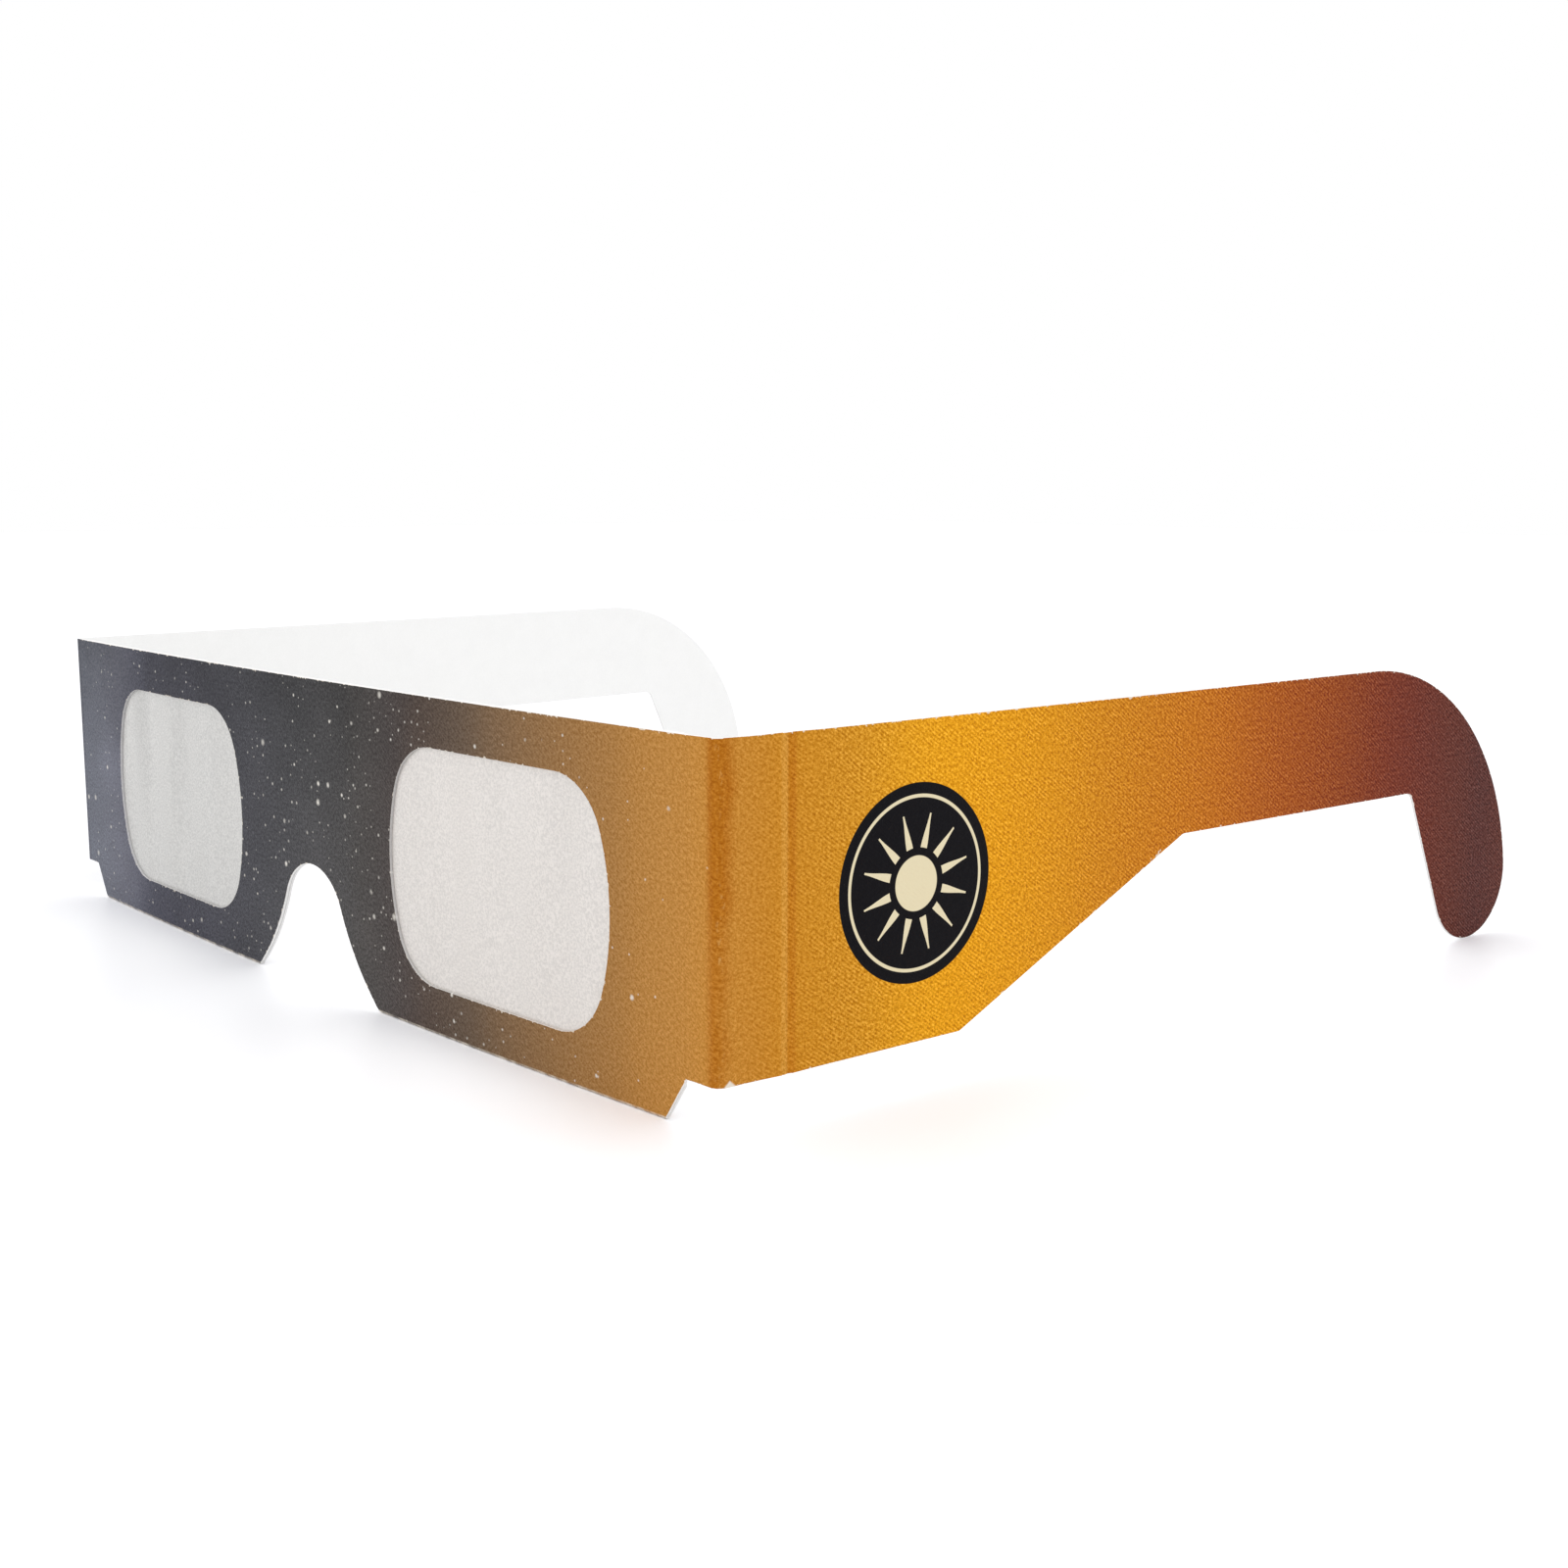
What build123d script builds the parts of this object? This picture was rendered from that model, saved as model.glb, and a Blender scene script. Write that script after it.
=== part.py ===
from build123d import *
import os
from math import acos, asin, atan2, cos, degrees, hypot, radians, sin, tan

# Paper eclipse glasses, in millimetres. One die-cut, printed board makes the front, the flap
# behind it, the corner strips and the temple arms. The flap folds up behind the front along
# the bottom edge and is glued to it, and holds a filter film behind each window. X runs along
# the front with the wearer's left eye at +X, the wearer looks towards -Y, the arms reach back
# to +Y, and the bottom edges stand on Z = 0.

# Sheets
board = 0.3                 # printed folding board, all of it
film_thickness = 0.08       # the filter films, and the glue beside them
crease_web = 0.22           # board pressed thin along a crease

# Front
front_width = 140.0         # from one corner crease to the other
front_height = 36.2         # the front, the strips and the arms share this top edge
front_bow = 1.85            # how far the middle stands in front of the corners
side_bottom = 4.5           # height of the lower edge of the strips and arms
tab_reach = 4.0             # from a corner crease in to its corner notch
tab_slope = 3.0             # how far the slanted side of that notch leans in

# Nose notch
nose_side_rim = 3.1         # from its foot at the bottom edge out to the level of a window
nose_height = 14.6
nose_radius = 6.9           # its round top
nose_flare = 28.0           # the flanks curve outwards to the bottom edge

# Windows and films
bridge_width = 34.8         # between the two windows
window_side_rim = 14.7      # from a corner crease to its window
window_top_rim = 5.4        # board above a window
window_bottom_rim = 5.2     # and below it
lens_side_radius = 24.0     # the sides bulge outwards
lens_corner = 7.3
film_lap_side = 3.0         # film hidden by board at each side of a window
film_lap_top = 2.6          # and above and below it

# Flap, bottom fold and glue
fold_rise = 0.6             # the folded edge meets the front panel at this height
fold_round = 0.24           # outer rounding of the folded edge
flap_side_gap = 4.6         # the flap ends this far inside the corner creases
glue_inset = 0.9            # glue stops this far inside the flap's edge
glue_gap = 0.25             # and this far outside each film

# Creases and strips, seen from above
crease_reach = 0.6          # from a crease's apex to the sheet on each side of it
strip_length = 7.6          # from the corner crease to the arm crease
strip_angle = 84.4          # direction of the strips from the X axis, in degrees
arm_turn = 2.6              # the arms turn this much further back, in degrees

# Temple arm, measured back from the arm crease
heel_reach = 22.1           # the deep part of the arm ends here
neck_start = 55.8           # and slants up to the narrow neck
neck_bottom = 20.5          # height of the neck's lower edge
hook_start = 99.7           # inner corner of the ear hook
tip_reach = 114.4           # centre of the hook's round tip
tip_radius = 8.1
back_radius = 32.0          # the long curve down the back of the hook
hook_corner = 1.4
arm_corner = 0.8            # rounding of the two blunt corners below

cut_over = 5.0              # a cut runs this far past what it cuts

# What the rims leave for the windows, and the room between them for the nose
half_width = front_width / 2
lens_width = half_width - window_side_rim - bridge_width / 2
lens_height = front_height - window_top_rim - window_bottom_rim
lens_centre = window_bottom_rim + lens_height / 2
lens_offset = bridge_width / 2 + lens_width / 2
nose_half_width = bridge_width / 2 - nose_side_rim

# The bowed front is bent about an upright axis behind it. The layers lie at these distances
# from that axis: the flap's back, its face, the front panel's back and its printed face.
bow_radius = (half_width ** 2 + front_bow ** 2) / (2 * front_bow)
bow_centre = bow_radius - front_bow
panel_back = bow_radius - board / 2
panel_face = panel_back + board
flap_face = panel_back - film_thickness
flap_back = flap_face - board
end_angle = asin(half_width / bow_radius) - crease_reach / bow_radius


def band(inner, outer, bottom, top):
    """Profile of a plain upright sheet between two distances from the axis it bends about."""
    corners = [(inner, bottom), (outer, bottom), (outer, top), (inner, top)]
    return Plane.XZ * make_face(Polyline(*corners, close=True))


def bent(profile, outline):
    """Bends a profile along the front's bow, then cuts the sheet to an outline."""
    arc = degrees(2 * end_angle)
    sheet = Rot(0, 0, -90 - arc / 2) * revolve(profile, Axis.Z, arc)
    cutter = extrude(Plane.XZ * outline, front_bow + cut_over, both=True)
    return Pos(0, bow_centre, 0) * sheet & cutter


def ahead(start, heading, reach):
    """The point a given distance from another along a heading."""
    return (start[0] + reach * cos(heading), start[1] + reach * sin(heading))


def toward(centre, point, radius):
    """The point of a circle that lies on the way from its centre to another point."""
    return ahead(centre, atan2(point[1] - centre[1], point[0] - centre[0]), radius)


def upper_meeting(centre, radius, other_centre, other_radius):
    """The upper of the two points where two circles cross."""
    away = hypot(other_centre[0] - centre[0], other_centre[1] - centre[1])
    cosine = (radius ** 2 + away ** 2 - other_radius ** 2) / (2 * radius * away)
    heading = atan2(other_centre[1] - centre[1], other_centre[0] - centre[0]) + acos(cosine)
    return ahead(centre, heading, radius)


def nose_edges():
    """The notch from its right foot over the top to its left foot: flank, round top, flank."""
    centre = (0, nose_height - nose_radius)
    foot = (nose_half_width, 0)
    flare_centre = upper_meeting(centre, nose_radius + nose_flare, foot, nose_flare)
    touch = toward(centre, flare_centre, nose_radius)
    chord = ((touch[0] + foot[0]) / 2, (touch[1] + foot[1]) / 2)
    middle = toward(flare_centre, chord, nose_flare)
    left = [(-x, z) for x, z in (touch, middle, foot)]
    return [
        ThreePointArc(foot, middle, touch),
        ThreePointArc(touch, (0, nose_height), left[0]),
        ThreePointArc(*left),
    ]


def board_outline(reach):
    """Outline of the front out to a reach each side, with the nose and corner notches."""
    notch = half_width - tab_reach
    foot = notch - tab_slope
    if reach > notch:
        side = [(reach, side_bottom), (notch, side_bottom)]
    else:
        side = [(reach, (reach - foot) * side_bottom / tab_slope)]
    right = [(reach, front_height), *side, (foot, 0), (nose_half_width, 0)]
    left = [(-x, z) for x, z in reversed(right)]
    return make_face([*Polyline(*left, *right).edges(), *nose_edges()])


def lens_window(side):
    """Outline of a window: straight top and bottom, bulging sides, rounded corners."""
    rise = lens_height / 2
    half = lens_width / 2
    corner = half - lens_side_radius + (lens_side_radius ** 2 - rise ** 2) ** 0.5
    edges = [
        Line((-corner, rise), (corner, rise)),
        ThreePointArc((corner, rise), (half, 0), (corner, -rise)),
        Line((corner, -rise), (-corner, -rise)),
        ThreePointArc((-corner, -rise), (-half, 0), (-corner, rise)),
    ]
    window = make_face(edges)
    return Pos(side * lens_offset, lens_centre) * fillet(window.vertices(), lens_corner)


def film_outline(side, margin):
    """Outline of a film, or of the room left for it in the glue."""
    width = lens_width + 2 * (film_lap_side + margin)
    height = lens_height + 2 * (film_lap_top + margin)
    return Pos(side * lens_offset, lens_centre) * Rectangle(width, height)


windows = lens_window(1) + lens_window(-1)

# Front panel: the outer layer, from the folded edge up to the top and out to the creases
panel_profile = band(panel_back, panel_face, fold_rise, front_height)
front_panel = bent(panel_profile, board_outline(half_width) - windows)

# Lens flap: the inner layer. Its foot turns under the films and comes up in front of them to
# meet the front panel, so the profile is a J.
flap_reach = half_width - flap_side_gap
flap_profile = band(flap_back, panel_face, 0, front_height)
feet = flap_profile.vertices().group_by(Axis.Z)[0]
flap_profile = fillet(feet, fold_round)
flap_profile -= band(flap_face, panel_back, board, front_height)
flap_profile -= band(panel_back, panel_face, fold_rise, front_height)
lens_flap = bent(flap_profile, board_outline(flap_reach) - windows)

# Glue between the two, all round the films
glue_outline = offset(board_outline(flap_reach), -glue_inset)
glue_outline -= film_outline(1, glue_gap) + film_outline(-1, glue_gap)
glue_layer = bent(band(flap_face, panel_back, 0, front_height), glue_outline)

# Filter films, one behind each window
film_profile = band(flap_face, panel_back, 0, front_height)
films = {side: bent(film_profile, film_outline(side, 0)) for side in (1, -1)}


def lower_touch(point, centre, radius):
    """Where a line from a point touches a circle, on the circle's lower left."""
    away = hypot(centre[0] - point[0], centre[1] - point[1])
    heading = atan2(centre[1] - point[1], centre[0] - point[0]) - asin(radius / away)
    return ahead(point, heading, (away ** 2 - radius ** 2) ** 0.5)


def upright(sheet_outline, apex, heading):
    """Stands an outline, drawn as distance from an apex and height, on its line as board."""
    along = (cos(heading), sin(heading), 0)
    outward = (sin(heading), -cos(heading), 0)
    plane = Plane(origin=(*apex, 0), x_dir=along, z_dir=outward)
    return extrude(plane * sheet_outline, board / 2, both=True)


def crease(apex, heading_in, heading_out):
    """The web round a crease, and the place of the upright axis that it bends about."""
    radius = crease_reach / tan((heading_out - heading_in) / 2)
    start = ahead(apex, heading_in, -crease_reach)
    centre = ahead(start, heading_in + radians(90), radius)
    half_web = crease_web / 2
    profile = band(radius - half_web, radius + half_web, side_bottom, front_height)
    web = revolve(profile, Axis.Z, degrees(heading_out - heading_in))
    web = Pos(*centre, 0) * Rot(0, 0, degrees(heading_in) - 90) * web
    middle = ahead(centre, (heading_in + heading_out) / 2 - radians(90), radius)
    return web, middle


# Directions and apexes of the left side, from the front panel's end to the arm
strip_heading = radians(strip_angle)
arm_heading = strip_heading + radians(arm_turn)
panel_end = ahead((0, bow_centre), end_angle - radians(90), bow_radius)
corner_apex = ahead(panel_end, end_angle, crease_reach)
arm_apex = ahead(corner_apex, strip_heading, strip_length)

# Corner strip between its two creases
corner_crease, corner_axis = crease(corner_apex, end_angle, strip_heading)
arm_crease, arm_axis = crease(arm_apex, strip_heading, arm_heading)
strip_end = strip_length - crease_reach
strip_corners = [
    (crease_reach, side_bottom),
    (strip_end, side_bottom),
    (strip_end, front_height),
    (crease_reach, front_height),
]
corner_strip = upright(make_face(Polyline(*strip_corners, close=True)), corner_apex, strip_heading)

# Temple arm: a straight top edge, a stepped lower edge, and an ear hook whose round tip just
# reaches the floor. The hook's back curve runs tangent from the top edge into the tip.
tip = (tip_reach, tip_radius)
lean = back_radius - tip_radius
drop = front_height - back_radius - tip_radius
back = (tip_reach - (lean ** 2 - drop ** 2) ** 0.5, front_height - back_radius)
back_heading = atan2(tip[1] - back[1], tip[0] - back[0])
back_touch = toward(back, tip, back_radius)
back_middle = ahead(back, (back_heading + radians(90)) / 2, back_radius)
hook_touch = lower_touch((hook_start, neck_bottom), tip, tip_radius)
lower_points = [
    (crease_reach, side_bottom),
    (heel_reach, side_bottom),
    (neck_start, neck_bottom),
    (hook_start, neck_bottom),
    hook_touch,
]
lower_edge = FilletPolyline(*lower_points, radius=[arm_corner, arm_corner, hook_corner])
back_top = (back[0], front_height)
crease_top = (crease_reach, front_height)
upper_edges = [
    ThreePointArc(hook_touch, (tip_reach, 0), back_touch),
    ThreePointArc(back_touch, back_middle, back_top),
    Line(back_top, crease_top),
    Line(crease_top, lower_points[0]),
]
temple_arm = upright(make_face([*lower_edge.edges(), *upper_edges]), arm_apex, arm_heading)

# Pieces by name. What stands at the wearer's left is mirrored for the right.
pieces = {"front_panel": front_panel, "lens_flap": lens_flap, "glue_layer": glue_layer}
left_pieces = {
    "filter_film": films[1],
    "corner_crease": corner_crease,
    "corner_strip": corner_strip,
    "arm_crease": arm_crease,
    "temple_arm": temple_arm,
}
for name, piece in left_pieces.items():
    pieces["left_" + name] = piece
    pieces["right_" + name] = mirror(piece, about=Plane.YZ)

# The origin moves to the middle of the footprint
front_y = bow_centre - panel_face
back_y = temple_arm.bounding_box().max.Y
to_middle = Pos(0, -(front_y + back_y) / 2, 0)

os.makedirs("parts", exist_ok=True)
for name, piece in pieces.items():
    export_step(to_middle * piece, f"parts/{name}.step")

axes = {"left corner crease": corner_axis, "left arm crease": arm_axis}
for name, (x, y) in axes.items():
    print(f"{name}: axis at x {x:.3f}, y {y + to_middle.position.Y:.3f} mm")
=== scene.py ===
from math import acos, asin, atan2, ceil, cos, hypot, pi, radians, sin, tan

import bpy
import numpy as np
from mathutils import Matrix, Vector
from mathutils.geometry import delaunay_2d_cdt


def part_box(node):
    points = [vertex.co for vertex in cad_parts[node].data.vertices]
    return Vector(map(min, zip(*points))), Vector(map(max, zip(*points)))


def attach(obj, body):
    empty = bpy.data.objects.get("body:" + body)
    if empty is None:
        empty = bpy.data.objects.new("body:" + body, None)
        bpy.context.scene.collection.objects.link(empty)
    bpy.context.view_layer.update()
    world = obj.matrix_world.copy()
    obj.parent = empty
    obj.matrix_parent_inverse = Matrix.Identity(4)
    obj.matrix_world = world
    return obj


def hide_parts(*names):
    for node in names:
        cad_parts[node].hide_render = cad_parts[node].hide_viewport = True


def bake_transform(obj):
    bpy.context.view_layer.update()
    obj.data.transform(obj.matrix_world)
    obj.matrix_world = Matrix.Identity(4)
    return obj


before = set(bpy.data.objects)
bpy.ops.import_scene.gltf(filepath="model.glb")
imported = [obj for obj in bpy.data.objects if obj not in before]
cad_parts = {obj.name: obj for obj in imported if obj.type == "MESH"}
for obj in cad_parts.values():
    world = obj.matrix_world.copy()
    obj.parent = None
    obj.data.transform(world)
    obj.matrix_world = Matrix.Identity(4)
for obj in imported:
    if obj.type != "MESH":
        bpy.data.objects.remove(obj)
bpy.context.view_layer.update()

# Front panel
# The outer layer of the front: offset-printed folding board, die-cut in one blank with the creases,
# strips and arms. The blank is drawn flat here, as distance along it from the middle of the front
# and height, in millimetres, and is then folded along its creases into the frame's place.
mm = 0.001
sides = ((1, "left"), (-1, "right"))
board = 0.3
front_width = 140.0
front_height = 36.2
front_bow = 1.85
side_bottom = 4.5
tab_reach = 4.0
tab_slope = 3.0
fold_rise = 0.6
nose_side_rim = 3.1
nose_height = 14.6
nose_radius = 6.9
nose_flare = 28.0
bridge_width = 34.8
window_side_rim = 14.7
window_top_rim = 5.4
window_bottom_rim = 5.2
lens_side_radius = 24.0
lens_corner = 7.3
crease_reach = 0.6
strip_length = 7.6
strip_angle = 84.4
arm_turn = 2.6

half_board = board / 2
half_width = front_width / 2
window_half_width = (half_width - window_side_rim - bridge_width / 2) / 2
window_half_height = (front_height - window_top_rim - window_bottom_rim) / 2
window_reach = bridge_width / 2 + window_half_width
window_height = window_bottom_rim + window_half_height
bow_radius = (half_width ** 2 + front_bow ** 2) / (2 * front_bow)
end_angle = asin(half_width / bow_radius) - crease_reach / bow_radius
corner_turn = radians(strip_angle) - end_angle
back_turn = radians(arm_turn)
front_end = bow_radius * end_angle
corner_run = crease_reach / tan(corner_turn / 2) * corner_turn
strip_run = strip_length - 2 * crease_reach
back_run = crease_reach / tan(back_turn / 2) * back_turn
front_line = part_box("front_panel")[0].y / mm + front_bow + half_board


def fold_runs():
    """Where each stretch of the folded blank starts, seen from above, its heading and its curvature."""
    runs = []
    along, x, y, heading = 0.0, 0.0, -front_bow, 0.0
    stretches = (
        (front_end, end_angle),
        (corner_run, corner_turn),
        (strip_run, 0.0),
        (back_run, back_turn),
        (half_width + front_width, 0.0),
    )
    for length, turn in stretches:
        runs.append((along, x, y, heading, turn / length))
        if turn:
            radius = length / turn
            x += radius * (sin(heading + turn) - sin(heading))
            y += radius * (cos(heading) - cos(heading + turn))
        else:
            x += length * cos(heading)
            y += length * sin(heading)
        along += length
        heading += turn
    return runs


blank_runs = fold_runs()
strip_start, strip_end, arm_start = (blank_runs[i][0] for i in (2, 3, 4))


def lay(along, height, depth):
    """Places points of the blank in the frame: along it, up it, and out from the board's middle."""
    side = np.where(along < 0, -1.0, 1.0)
    reach = np.abs(along)
    x = np.zeros_like(reach)
    y = np.zeros_like(reach)
    for start, x0, y0, heading, curvature in blank_runs:
        here = reach >= start
        way = reach[here] - start
        now = heading + curvature * way
        if curvature:
            px = x0 + (np.sin(now) - sin(heading)) / curvature
            py = y0 + (cos(heading) - np.cos(now)) / curvature
        else:
            px = x0 + way * cos(heading)
            py = y0 + way * sin(heading)
        x[here] = px + depth[here] * np.sin(now)
        y[here] = py - depth[here] * np.cos(now)
    return np.stack([side * x, y + front_line, height], axis=1) * mm


curve_step = 0.5
grid_step = 3.0
same_point = 1e-6


def arc(centre, radius, start, end):
    """Points of an arc from one angle to another, both ends included."""
    steps = max(2, ceil(abs(end - start) * radius / curve_step))
    angles = [start + (end - start) * i / steps for i in range(steps + 1)]
    return [(centre[0] + radius * cos(a), centre[1] + radius * sin(a)) for a in angles]


def stretch(points):
    """Adds points along the long straight sides of a closed outline, and drops doubled ones."""
    out = []
    for a, b in zip(points, points[1:] + points[:1]):
        across, up = b[0] - a[0], b[1] - a[1]
        length = hypot(across, up)
        if length > same_point:
            steps = ceil(length / grid_step)
            out += [(a[0] + across * i / steps, a[1] + up * i / steps) for i in range(steps)]
    return out


def heading_to(start, end):
    """Angle of the way from one point to another."""
    return atan2(end[1] - start[1], end[0] - start[0])


def nose_flare_arc():
    """Centre of the right flank's arc and the angle at which it meets the notch's round top."""
    foot = bridge_width / 2 - nose_side_rim
    centre = (0, nose_height - nose_radius)
    both = nose_radius + nose_flare
    away = hypot(foot, centre[1])
    meeting = acos((both ** 2 + away ** 2 - nose_flare ** 2) / (2 * both * away))
    turn = heading_to(centre, (foot, 0)) + meeting
    return (both * cos(turn), centre[1] + both * sin(turn)), turn


def flank_at(height):
    """How far the nose notch's flank lies from the middle at a height."""
    flare, _ = nose_flare_arc()
    return flare[0] - (nose_flare ** 2 - (flare[1] - height) ** 2) ** 0.5


def foot_at(height):
    """How far the slanted side of the corner notch lies from the middle at a height."""
    return half_width - tab_reach - tab_slope * (1 - height / side_bottom)


def nose_outline(lowest):
    """The nose notch from its left flank over the round top to its right flank, down to a height."""
    flare, turn = nose_flare_arc()
    low_turn = pi + asin((flare[1] - lowest) / nose_flare)
    flank = arc(flare, nose_flare, low_turn, pi + turn)
    left = [(-x, z) for x, z in flank]
    top = arc((0, nose_height - nose_radius), nose_radius, pi - turn, turn)
    return left + top[1:-1] + flank[::-1]


def side_edge(reach, lowest):
    """Right edge of a layer of the front, from its foot at a height up to its top corner."""
    notch = half_width - tab_reach
    if reach > notch:
        upper = [(notch, side_bottom), (reach, side_bottom)]
    else:
        upper = [(reach, side_bottom * (1 - (notch - reach) / tab_slope))]
    return [(foot_at(lowest), lowest), *upper, (reach, front_height)]


def front_outline(reach, lowest):
    """Outline of a layer of the front out to a reach each side and down to a height."""
    right = side_edge(reach, lowest)
    left = [(-x, z) for x, z in right[::-1]]
    return stretch(left + nose_outline(lowest) + right)


def window_outline(side):
    """Outline of a window: straight above and below, bulging sides, rounded corners."""
    bulge = (window_half_width - lens_side_radius, 0)
    round_z = window_half_height - lens_corner
    round_x = bulge[0] + ((lens_side_radius - lens_corner) ** 2 - round_z ** 2) ** 0.5
    turn = heading_to(bulge, (round_x, round_z))
    corner = arc((round_x, round_z), lens_corner, pi / 2, turn)
    upper = corner + arc(bulge, lens_side_radius, turn, 0)[1:]
    right = upper + [(x, -z) for x, z in upper[-2::-1]]
    whole = right + [(-x, -z) for x, z in right]
    return stretch([(side * window_reach + x, window_height + z) for x, z in whole])


least_corner_share = 0.5
rim_width = 0.3
grid_row_share = 0.87
grid_clear_share = 0.45
meeting_distance = 1e-5


def inset(loop, distance):
    """The points of a closed outline, moved to its inner side, which lies left of its way."""
    points = np.array(loop)
    before = points - np.roll(points, 1, axis=0)
    after = np.roll(points, -1, axis=0) - points
    normals = []
    for way in (before, after):
        way = way / np.linalg.norm(way, axis=1)[:, None]
        normals.append(np.stack([-way[:, 1], way[:, 0]], axis=1))
    half = normals[0] + normals[1]
    half /= np.linalg.norm(half, axis=1)[:, None]
    share = np.maximum((half * normals[0]).sum(axis=1), least_corner_share)
    return points + half * (distance / share)[:, None]


def turned(loop, leftward):
    """The outline, run so that its area lies left of its way, or right."""
    x, z = np.array(loop).T
    area = (x * np.roll(z, -1) - np.roll(x, -1) * z).sum()
    return loop if (area > 0) == leftward else loop[::-1]


def within(points, loops):
    """Which points lie inside the first outline and outside the others."""
    inside = np.zeros(len(points), bool)
    for loop in loops:
        for a, b in zip(loop, loop[1:] + loop[:1]):
            crosses = (a[1] > points[:, 1]) != (b[1] > points[:, 1])
            if a[1] != b[1]:
                reach = a[0] + (points[:, 1] - a[1]) * (b[0] - a[0]) / (b[1] - a[1])
                inside ^= crosses & (points[:, 0] < reach)
    return inside


def inner_grid(loops, fixed):
    """Staggered points inside a piece, clear of the points that it has already."""
    low, high = np.min(loops[0], axis=0), np.max(loops[0], axis=0)
    xs = np.arange(low[0] + grid_step / 2, high[0], grid_step)
    zs = np.arange(low[1] + grid_step / 2, high[1], grid_step * grid_row_share)
    grid = np.array([(x + grid_step / 2 * (i % 2), z) for i, z in enumerate(zs) for x in xs])
    grid = grid[within(grid, loops)]
    gaps = np.linalg.norm(grid[:, None] - np.array(fixed)[None], axis=2).min(axis=1)
    return [tuple(p) for p in grid[gaps > grid_step * grid_clear_share]]


def fill(loops, lines=()):
    """Triangles of a flat piece with holes, its points, and its border as runs of point numbers."""
    corners, edges = [], []
    for loop in loops:
        first = len(corners)
        corners += loop
        edges += [(first + i, first + (i + 1) % len(loop)) for i in range(len(loop))]
    for line in lines:
        first = len(corners)
        corners += line
        edges += [(first + i, first + i + 1) for i in range(len(line) - 1)]
    for loop in loops:
        corners += [tuple(p) for p in inset(loop, rim_width)]
    corners += inner_grid(loops, corners)
    vectors = [Vector(p) for p in corners]
    points, _, faces, origins, _, _ = delaunay_2d_cdt(vectors, edges, [], 0, meeting_distance)
    points = np.array([tuple(p) for p in points])
    triangles = np.array(faces)
    triangles = triangles[within(points[triangles].mean(axis=1), loops)]
    place = {old: new for new, olds in enumerate(origins) for old in olds}
    borders, first = [], 0
    for loop in loops:
        borders.append([place[first + i] for i in range(len(loop))])
        first += len(loop)
    return points, triangles, borders


edge_round = 0.04
sharp_angle = 30.0


def flat_section(points, out):
    """The board's height and depth at a distance out from its middle, where it isn't folded over."""
    return points[:, 1], np.full(len(points), out)


def rounded_in(points, borders, joined):
    """The points, drawn in at the cut edges to round them, and nought at a cut edge and one elsewhere."""
    pulled = points.copy()
    rim = np.ones(len(points))
    for border in borders:
        free = np.array([not joined(p) for p in points[border]])
        pull = inset([tuple(p) for p in points[border]], edge_round) - points[border]
        pulled[border] = points[border] + pull * free[:, None]
        rim[border] = np.where(free, 0.0, 1.0)
    return pulled, rim


def side_faces(borders, starts):
    """Faces of the cut edges, between the four layers of points whose first numbers are given."""
    faces = []
    offset = 0
    for border in borders:
        size = len(border)
        run = offset + np.arange(size)
        rows = [np.array(border), starts[1] + run, starts[2] + run, starts[3] + np.array(border)]
        for upper, lower in zip(rows, rows[1:]):
            faces += [(upper[i], lower[i], lower[(i + 1) % size], upper[(i + 1) % size]) for i in range(size)]
        offset += size
    return faces


def make_board(name, shape, joined, section=flat_section):
    """A piece of board from its flat shape: printed face, white face and cut edge, as a closed mesh."""
    points, triangles, borders = shape
    pulled, rim = rounded_in(points, borders, joined)
    ring = [i for border in borders for i in border]
    layers = []
    for flat, out in (
        (pulled, half_board),
        (points[ring], half_board - edge_round),
        (points[ring], edge_round - half_board),
        (pulled, -half_board),
    ):
        layers.append((flat[:, 0], *section(flat, out), flat[:, 1]))
    along, height, depth, unrolled = (np.concatenate(column) for column in zip(*layers))
    starts = np.cumsum([0] + [len(layer[0]) for layer in layers])
    faces = [*triangles, *(triangles[:, ::-1] + starts[3])]
    kinds = [0] * len(triangles) + [1] * len(triangles)
    cut = side_faces(borders, starts)
    faces += cut
    kinds += [2] * len(cut)
    mesh = bpy.data.meshes.new(name)
    mesh.from_pydata(lay(along, height, depth).tolist(), [], [[int(i) for i in f] for f in faces])
    mesh.polygons.foreach_set("material_index", kinds)
    mesh.polygons.foreach_set("use_smooth", [True] * len(faces))
    mesh.set_sharp_from_angle(angle=radians(sharp_angle))
    rims = np.concatenate([rim, rim[ring], rim[ring], rim])
    blank = mesh.attributes.new("blank", "FLOAT_VECTOR", "POINT")
    blank.data.foreach_set("vector", np.stack([along, unrolled, rims], axis=1).ravel())
    piece = bpy.data.objects.new(name, mesh)
    bpy.context.scene.collection.objects.link(piece)
    return piece


screen_gamma = 2.4


def ink(red, green, blue):
    """A printed colour, given as screen values from 0 to 255, as Blender holds it."""
    values = [c / 255 for c in (red, green, blue)]
    return [c / 12.92 if c <= 0.04045 else ((c + 0.055) / 1.055) ** screen_gamma for c in values] + [1.0]


def feed(tree, value, socket):
    """Joins a node's output to a socket, or sets the socket to a plain value."""
    if isinstance(value, bpy.types.NodeSocket):
        tree.links.new(value, socket)
    else:
        socket.default_value = value


def add(tree, kind, inputs=None, **settings):
    """A node of a material, with its settings, and its inputs set to values or joined to other nodes."""
    made = tree.nodes.new("ShaderNode" + kind)
    for name, value in settings.items():
        setattr(made, name, value)
    for name, value in (inputs or {}).items():
        feed(tree, value, made.inputs[name])
    return made


def sum_of(tree, operation, first, second=0.0, third=0.0):
    """A sum on numbers or sockets, such as ADD or LESS_THAN."""
    return add(tree, "Math", {0: first, 1: second, 2: third}, operation=operation).outputs[0]


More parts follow.
